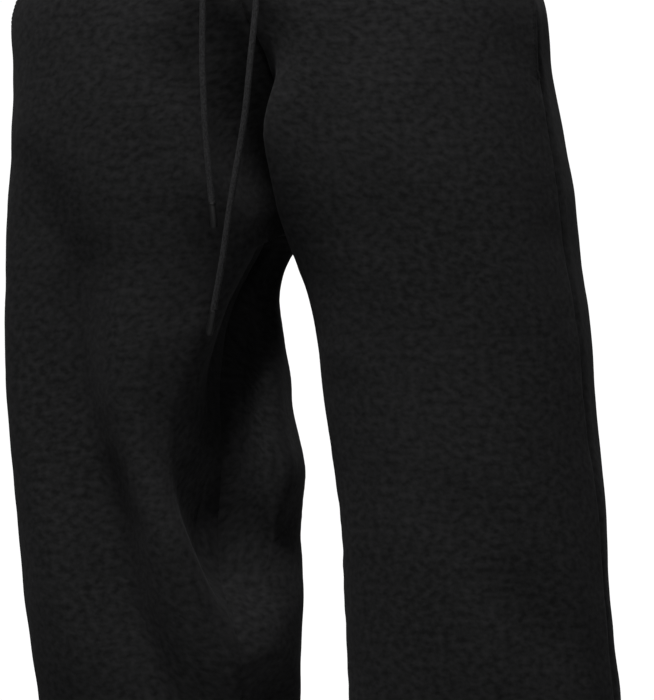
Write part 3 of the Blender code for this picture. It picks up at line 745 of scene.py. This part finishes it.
def make_pocket(half, word):
    """The bag inside one hip, the row of stitches beside its mouth and the two bar tacks."""
    (_, front, out_front, flat_front), (_, back, out_back, _) = half
    first = int(np.searchsorted(column_shares(), POCKET_START))
    columns = slice(first, None, 2)
    beyond = slice(1, POCKET_BEYOND + 1)
    bag, out = (
        np.concatenate([a[POCKET_ROWS, columns], b[POCKET_ROWS, beyond]], axis=1)
        for a, b in ((flat_front, back), (out_front, out_back))
    )
    outer = bag - out * (CLOTH + POCKET_GAP)
    width = np.linspace(0, BAG_WIDTH, bag.shape[1])[None, :] + 0 * bag[:, :, 2]
    uv = np.stack([width, bag[:, :, 2]], axis=2)
    piece = cloth_piece("pocket_bag_" + word, outer, outer - out * POCKET_WALL, uv, lining)
    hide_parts("pocket_" + word)
    line, ways = beside_edge(front, out_front, TOPSTITCH_FROM_EDGE)
    places, alongs, outs = along_line(line, ways, STITCH_PITCH)
    stitches("mouth_stitching_" + word, places, alongs, outs, STITCH_LENGTH)
    edge, edge_ways = beside_edge(front, out_front, TACK_FROM_EDGE)
    inner, _ = beside_edge(front, out_front, TACK_INSIDE)
    tacks = []
    for rows in ([0, 1, 2], [-3, -2, -1]):
        middle = edge[rows].mean(axis=0)
        way = unit(edge_ways[rows].mean(axis=0))
        across = unit((edge - inner)[rows].mean(axis=0))
        down = unit(np.cross(way, across))
        for k in range(TACK_STITCHES):
            beside = (k - (TACK_STITCHES - 1) / 2) * TACK_PITCH
            tacks.append((middle + down * beside, across, way))
    places, alongs, outs = (np.array(column) for column in zip(*tacks))
    stitches("bar_tacks_" + word, places, alongs, outs, TACK_LENGTH)


make_pocket(left_half, "left")
make_pocket(right_half, "right")

# ----------------------------------------
# The waistband. One band of the fleece folded over flat elastic, sewn through with three rows of
# stitches while stretched, so it relaxes into fine upright ruching between the rows.
# ----------------------------------------

BAND_HEIGHT = 0.045
BAND_WALL = 0.0045
BAND_TURNS = 720
BAND_PROFILE_POINTS = 34
BAND_OVAL = LEFT_SECTIONS[0][3:7]  # half width, centre y, half depth, squareness
BAND_STITCH_PITCH, BAND_STITCH_LENGTH = 0.0042, 0.0030
EYELET_CLEAR = 0.010  # how far the stitches and the ruching stay from an eyelet
BAND_STITCH_ROWS = (0.0118, 0.0226, 0.0334)  # down from the top edge
RUCHE_DEPTH = 0.0014
RUCHE_SPACING = 0.0062
EYELET_X, EYELET_Z, EYELET_FACE = 0.0236, -0.0300, -0.1262


def band_profile():
    """The band's wall from its outer lower edge over the top to the inner one: out, down."""
    top, gap = 0.0028, 0.0003
    down = np.linspace(BAND_HEIGHT - gap, top, BAND_PROFILE_POINTS)
    belly = np.interp(down, (top, BAND_HEIGHT * 0.55, BAND_HEIGHT), (0.0006, 0.0022, 0.0))
    turn = np.radians(np.linspace(0, 180, 9)[1:-1])
    middle, half = 0.0006 - 0.00255, 0.00255
    inside = np.linspace(top, BAND_HEIGHT - gap, 12)
    return (
        [(out, at) for out, at in zip(belly, down)]
        + [(middle + half * math.cos(t), top * (1 - math.sin(t))) for t in turn]
        + [(-BAND_WALL, at) for at in inside]
    )


def ruching(x, y, out, down):
    """How far the band stands out of its even shape: upright ruches, pinched at each row."""
    cell = BAND_STITCH_ROWS[1] - BAND_STITCH_ROWS[0]
    channel = abs(math.sin(math.pi * (down - BAND_STITCH_ROWS[0]) / cell))
    fold = noise.noise(Vector((x / RUCHE_SPACING, y / RUCHE_SPACING, down / 0.030)))
    crossing = noise.noise(Vector((x / 0.003, y / 0.003, down / 0.006 + 9)))
    from_eyelet = math.hypot(abs(x) - EYELET_X, down + EYELET_Z)
    near_eyelet = math.exp(-((from_eyelet / EYELET_CLEAR) ** 2))
    level = 1 - 0.9 * near_eyelet * (y < 0)
    pinch = sum(math.exp(-(((down - row) / 0.0012) ** 2)) for row in BAND_STITCH_ROWS)
    if out < -BAND_WALL / 2:
        return -0.35 * RUCHE_DEPTH * fold
    raised = RUCHE_DEPTH * (0.35 + 0.65 * channel) * (fold * 1.7 + 0.25 * crossing)
    return (raised - 0.0006 * pinch) * level


def make_waistband():
    """The band's mesh, and its points as turn by profile for the stitches."""
    half_width, centre_y, half_depth, square = BAND_OVAL
    profile = band_profile()
    rings = np.empty((BAND_TURNS, len(profile), 3))
    angles = 360 * np.arange(BAND_TURNS) / BAND_TURNS
    for j, (out, down) in enumerate(profile):
        grown = (0, 0, half_width + out, centre_y, half_depth + out, square)
        ring = oval(grown, angles)
        around = np.roll(ring, -1, axis=0) - np.roll(ring, 1, axis=0)
        way = unit(np.column_stack([-around[:, 1], around[:, 0], 0 * around[:, 0]]))
        way *= np.sign(np.sum(way * (ring - (0, centre_y, 0)), axis=1))[:, None]
        proud = np.array([ruching(p[0], p[1], out, down) for p in ring])
        ring[:, :2] += way[:, :2] * proud[:, None]
        rings[:, j] = ring
        rings[:, j, 2] = -down + WAIST_SLOPE * ring[:, 1]
    faces = grid_faces(BAND_TURNS, len(profile), wrap_rows=True, wrap_columns=True)
    mesh = bpy.data.meshes.new("waistband_cloth")
    mesh.from_pydata(rings.reshape(-1, 3).tolist(), [], faces)
    girth = np.linspace(0, 1.0, BAND_TURNS)[:, None] * np.ones((1, len(profile)))
    height = -np.cumsum(np.full(len(profile), 0.0016))[None, :] * np.ones((BAND_TURNS, 1))
    uv = np.stack([girth, height], axis=2).reshape(-1, 2)
    piece = finish_piece("waistband_cloth", mesh, fleece, uv)
    return piece, rings, profile


waistband, band_rings, band_shape = make_waistband()
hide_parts("waistband")
for number, row_down in enumerate(BAND_STITCH_ROWS):
    column = min(range(BAND_PROFILE_POINTS), key=lambda j: abs(band_shape[j][1] - row_down))
    line = np.vstack([band_rings[:, column], band_rings[:1, column]])
    outs = unit(np.column_stack([line[:, 0], line[:, 1] * 2.2, 0 * line[:, 0]]))
    places, alongs, outs = along_line(line, outs, BAND_STITCH_PITCH)
    clear = [
        abs(abs(place[0]) - EYELET_X) > EYELET_CLEAR or place[1] > 0 or number == 0
        for place in places
    ]
    name = f"band_stitching_{number + 1}"
    stitches(name, places[clear], alongs[clear], outs[clear], BAND_STITCH_LENGTH)

# ----------------------------------------
# The two eyelets. Small pressed rings of black metal either side of the centre front, through
# which the drawcord leaves the band.
# ----------------------------------------

EYELET_OUTER = 0.0071
EYELET_RIM = 0.0024
EYELET_DEPTH = 0.0022


def painted_metal(name, colour, rough):
    """Satin black paint on metal, a little uneven in colour and gloss, with a faint orange peel."""
    made = bpy.data.materials.new(name)
    made.use_nodes = True
    nodes, links = made.node_tree.nodes, made.node_tree.links
    shader = nodes["Principled BSDF"]
    place = nodes.new("ShaderNodeTexCoord")
    cloud = nodes.new("ShaderNodeTexNoise")
    cloud.inputs["Scale"].default_value = 900.0
    cloud.inputs["Detail"].default_value = 3.0
    links.new(place.outputs["Object"], cloud.inputs["Vector"])
    ramp = nodes.new("ShaderNodeValToRGB")
    ramp.color_ramp.elements[0].position = 0.35
    ramp.color_ramp.elements[0].color = (*colour, 1.0)
    ramp.color_ramp.elements[1].position = 0.80
    ramp.color_ramp.elements[1].color = (*(c * 2.2 for c in colour), 1.0)
    links.new(cloud.outputs["Fac"], ramp.inputs["Fac"])
    links.new(ramp.outputs["Color"], shader.inputs["Base Color"])
    gloss = nodes.new("ShaderNodeMapRange")
    gloss.inputs["To Min"].default_value = rough
    gloss.inputs["To Max"].default_value = rough + 0.15
    links.new(cloud.outputs["Fac"], gloss.inputs["Value"])
    links.new(gloss.outputs[0], shader.inputs["Roughness"])
    peel = nodes.new("ShaderNodeBump")
    peel.inputs["Strength"].default_value = 0.15
    peel.inputs["Distance"].default_value = 0.0001
    links.new(cloud.outputs["Fac"], peel.inputs["Height"])
    links.new(peel.outputs["Normal"], shader.inputs["Normal"])
    shader.inputs["Specular IOR Level"].default_value = 0.30
    return made


black_metal = painted_metal("black metal", (0.0028, 0.0028, 0.0029), 0.50)


def hard_piece(piece, name, place):
    """Ends a modelled metal piece: it is set in place, smoothed and given its finish."""
    bpy.ops.object.mode_set(mode="OBJECT")
    piece.data.transform(place)
    piece.name = piece.data.name = name
    piece.data.materials.append(black_metal)
    piece.data.shade_smooth()
    piece.data.set_sharp_from_angle(angle=math.radians(40))
    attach(piece, "root")
    return piece


for word, across in (("left", EYELET_X), ("right", -EYELET_X)):
    ring = begin(
        bpy.ops.mesh.primitive_cylinder_add, vertices=48, radius=EYELET_OUTER, depth=EYELET_DEPTH
    )
    pick(ring, lambda face: face.normal.z > 0.9)
    bpy.ops.mesh.inset(thickness=0.0007, depth=0.0003)
    bpy.ops.mesh.inset(thickness=EYELET_RIM - 0.0014, depth=0.0)
    bpy.ops.mesh.inset(thickness=0.0007, depth=-0.0006)
    bpy.ops.mesh.extrude_region_move(TRANSFORM_OT_translate={"value": (0, 0, -0.0014)})
    bpy.ops.mesh.inset(thickness=0.0004, depth=0.0)
    upright = Matrix.Translation((across, EYELET_FACE, EYELET_Z)) @ Matrix.Rotation(
        math.radians(90), 4, "X"
    )
    hard_piece(ring, "eyelet_ring_" + word, upright)
    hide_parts("eyelet_" + word)

# ----------------------------------------
# The drawcord's two free ends and their aglets. A round braid of black polyester, limp, hanging
# from the eyelets down the front, each end closed in a pressed sleeve of black metal.
# ----------------------------------------

CORD_RADIUS = 0.00275
CORD_STEP = 0.00075
CORD_ROUND = 48
BRAID_STRANDS = 8  # each way round
BRAID_TURN = 1450.0  # radians of a strand's wave per metre of cord
BRAID_DEPTH = 0.00016
AGLET_RADIUS = 0.0032
SEAM_GAP = 0.0003
LEFT_CORD = (
    (0.0236, -0.1246, -0.0300),
    (0.0237, -0.1330, -0.0305),
    (0.0239, -0.1425, -0.0355),
    (0.0243, -0.1490, -0.0480),
    (0.0250, -0.1510, -0.0700),
    (0.0257, -0.1515, -0.1000),
    (0.0261, -0.1525, -0.1350),
    (0.0243, -0.1540, -0.1600),
    (0.0216, -0.1545, -0.1860),
    (0.0156, -0.1530, -0.2370),
    (0.0025, -0.1485, -0.3050),
    (-0.0066, -0.1440, -0.3560),
    (-0.0160, -0.1385, -0.3980),
)
RIGHT_CORD = (
    (-0.0236, -0.1246, -0.0300),
    (-0.0236, -0.1330, -0.0305),
    (-0.0235, -0.1425, -0.0355),
    (-0.0231, -0.1490, -0.0480),
    (-0.0224, -0.1510, -0.0700),
    (-0.0216, -0.1515, -0.1000),
    (-0.0213, -0.1520, -0.1350),
    (-0.0216, -0.1520, -0.1860),
    (-0.0201, -0.1505, -0.2370),
    (-0.0172, -0.1480, -0.2800),
    (-0.0150, -0.1465, -0.3065),
)
# The aglet from its open end to its tip: step down, share of its radius.
AGLET_SHAPE = (
    (0.0000, 0.90),
    (0.0004, 1.00),
    (0.0012, 1.00),
    (0.0004, 0.95),
    (0.0012, 0.93),
    (0.0004, 0.98),
    (0.0130, 0.97),
    (0.0036, 0.92),
    (0.0012, 0.80),
    (0.0006, 0.55),
)

braid = knit_finish(
    "black braid",
    dark=(0.0100, 0.0100, 0.0104),
    light=(0.0300, 0.0300, 0.0308),
    grain=(900.0, 900.0, 500.0),
    fine=(3000.0, 3000.0, 3000.0),
    bump=0.30,
    coordinates="Object",
)


def smooth_route(route, step):
    """Points at even steps on a smooth curve through a route."""
    places = np.linspace(0, len(route) - 1, 60 * len(route))
    line = np.array([between(route, place) for place in places])
    length = np.linalg.norm(np.diff(line, axis=0), axis=1).sum()
    return at_shares(line, np.linspace(0, 1, int(round(length / step)) + 1))


def make_cord(route, word):
    """One hanging end of the drawcord, with the aglet pressed on its tip."""
    line = smooth_route(route, CORD_STEP)
    ahead = unit(np.gradient(line, axis=0))
    round_it = np.linspace(0, 2 * math.pi, CORD_ROUND, endpoint=False)
    first = unit(np.cross(ahead[0], (1.0, 0.0, 0.0)))
    rings = []
    for i, (place, way) in enumerate(zip(line, ahead)):
        first = unit(first - way * np.dot(first, way))
        second = np.cross(way, first)
        travel = BRAID_TURN * i * CORD_STEP
        one_way = np.cos(BRAID_STRANDS * round_it + travel)
        plait = one_way * np.cos(BRAID_STRANDS * round_it - travel)
        radius = CORD_RADIUS + BRAID_DEPTH * plait
        spokes = np.outer(np.cos(round_it), first) + np.outer(np.sin(round_it), second)
        rings.append(place + radius[:, None] * spokes)
    faces = grid_faces(len(rings), CORD_ROUND, wrap_columns=True)
    last = (len(rings) - 1) * CORD_ROUND
    faces += [tuple(range(CORD_ROUND)), tuple(last + k for k in reversed(range(CORD_ROUND)))]
    mesh = bpy.data.meshes.new("hanging_cord_" + word)
    mesh.from_pydata(np.concatenate(rings).tolist(), [], faces)
    cord = finish_piece("hanging_cord_" + word, mesh, braid)
    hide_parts("drawcord_" + word)

    tip = begin(
        bpy.ops.mesh.primitive_circle_add, vertices=36, radius=AGLET_RADIUS, fill_type="NGON"
    )
    down_to, wide = 0.0, 1.0
    for step, radius in AGLET_SHAPE:
        if step:
            bpy.ops.mesh.extrude_region_move(TRANSFORM_OT_translate={"value": (0, 0, -step)})
        down_to -= step
        share = radius / wide
        bpy.ops.transform.resize(value=(share, share, 1), center_override=(0, 0, down_to))
        wide = radius
    bpy.ops.mesh.select_all(action="SELECT")
    bpy.ops.mesh.normals_make_consistent(inside=False)
    end = Vector(line[-1]) + Vector(ahead[-1]) * SEAM_GAP
    turn = (-Vector(ahead[-1])).to_track_quat("Z", "Y").to_matrix().to_4x4()
    aglet = hard_piece(tip, "cord_tip_" + word, Matrix.Translation(end) @ turn)
    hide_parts("aglet_" + word)


make_cord(LEFT_CORD, "left")
make_cord(RIGHT_CORD, "right")

# ----------------------------------------
# The cuffs. Tubes of doubled rib knit, folded at the bottom and stretched onto the gathered leg.
# ----------------------------------------

CUFF_RIBS = 96
CUFF_RIB_POINTS = 6
CUFF_WALL = 0.0036
CUFF_HEIGHT = 0.060
CUFF_GIRTH = 0.314
CUFF_FOLD = 0.002
CUFF_TOP_SET, CUFF_BOTTOM_SET = -0.0010, -0.0045  # how far in the outer wall lies
RIB_DEPTH = 0.00055
UNEVEN_PULL = 0.0007

rib_knit = knit_finish(
    "black rib",
    dark=(0.0046, 0.0046, 0.0049),
    light=(0.0165, 0.0165, 0.0170),
    grain=(500.0, 260.0, 1.0),
    fine=(1100.0, 520.0, 1.0),
    bump=0.45,
)


def make_cuff(side, section, word):
    """One cuff on the end of its leg, its wall folded at the bottom and its ribs upright."""
    _, top, centre_x, half_width, centre_y, half_depth = section[:6]
    gap, turn_in = 0.0003, CUFF_HEIGHT - CUFF_FOLD
    outer_down = np.linspace(gap, turn_in, 20)
    sets = (CUFF_TOP_SET, 0.0005, CUFF_BOTTOM_SET)
    outer = np.interp(outer_down, (gap, 0.014, turn_in), sets)
    profile = list(zip(outer, outer_down))
    for t in np.radians(np.linspace(0, 180, 8)[1:-1]):
        inwards = CUFF_WALL / 2 * (1 - math.cos(t))
        profile.append((CUFF_BOTTOM_SET - inwards, turn_in + CUFF_FOLD * math.sin(t)))
    inner_down = np.linspace(turn_in, gap, 10)
    inner = np.interp(inner_down, (gap, turn_in), (CUFF_TOP_SET, CUFF_BOTTOM_SET)) - CUFF_WALL
    profile += list(zip(inner, inner_down))
    turns = CUFF_RIBS * CUFF_RIB_POINTS
    angle = 2 * math.pi * np.arange(turns) / turns
    ways = [(3 * math.cos(a), 3 * math.sin(a)) for a in angle]
    rib = np.cos(CUFF_RIBS * angle)
    rings = np.empty((turns, len(profile), 3))
    for j, (out, down) in enumerate(profile):
        pulled = np.array([noise.noise(Vector((x, y, down / 0.02))) for x, y in ways])
        outside = out > CUFF_BOTTOM_SET - CUFF_FOLD
        grown = out + RIB_DEPTH * (rib if outside else 0.5 * rib) + UNEVEN_PULL * pulled
        grown = grown - 0.0008 * math.exp(-(((down - 0.003) / 0.002) ** 2))
        rings[:, j, 0] = side * centre_x + (half_width + grown) * np.cos(angle)
        rings[:, j, 1] = centre_y + (half_depth + grown) * np.sin(angle)
        rings[:, j, 2] = top - down
    faces = grid_faces(turns, len(profile), wrap_rows=True, wrap_columns=True)
    name = "rib_cuff_" + word
    mesh = bpy.data.meshes.new(name)
    mesh.from_pydata(rings.reshape(-1, 3).tolist(), [], faces)
    girth = np.linspace(0, CUFF_GIRTH, turns)[:, None] * np.ones((1, len(profile)))
    height = np.array([down for _, down in profile])[None, :] * np.ones((turns, 1))
    uv = np.stack([girth, height], axis=2).reshape(-1, 2)
    piece = finish_piece(name, mesh, rib_knit, uv)
    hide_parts("cuff_" + word)


make_cuff(1, LEFT_SECTIONS[-1], "left")
make_cuff(-1, RIGHT_SECTIONS[-1], "right")
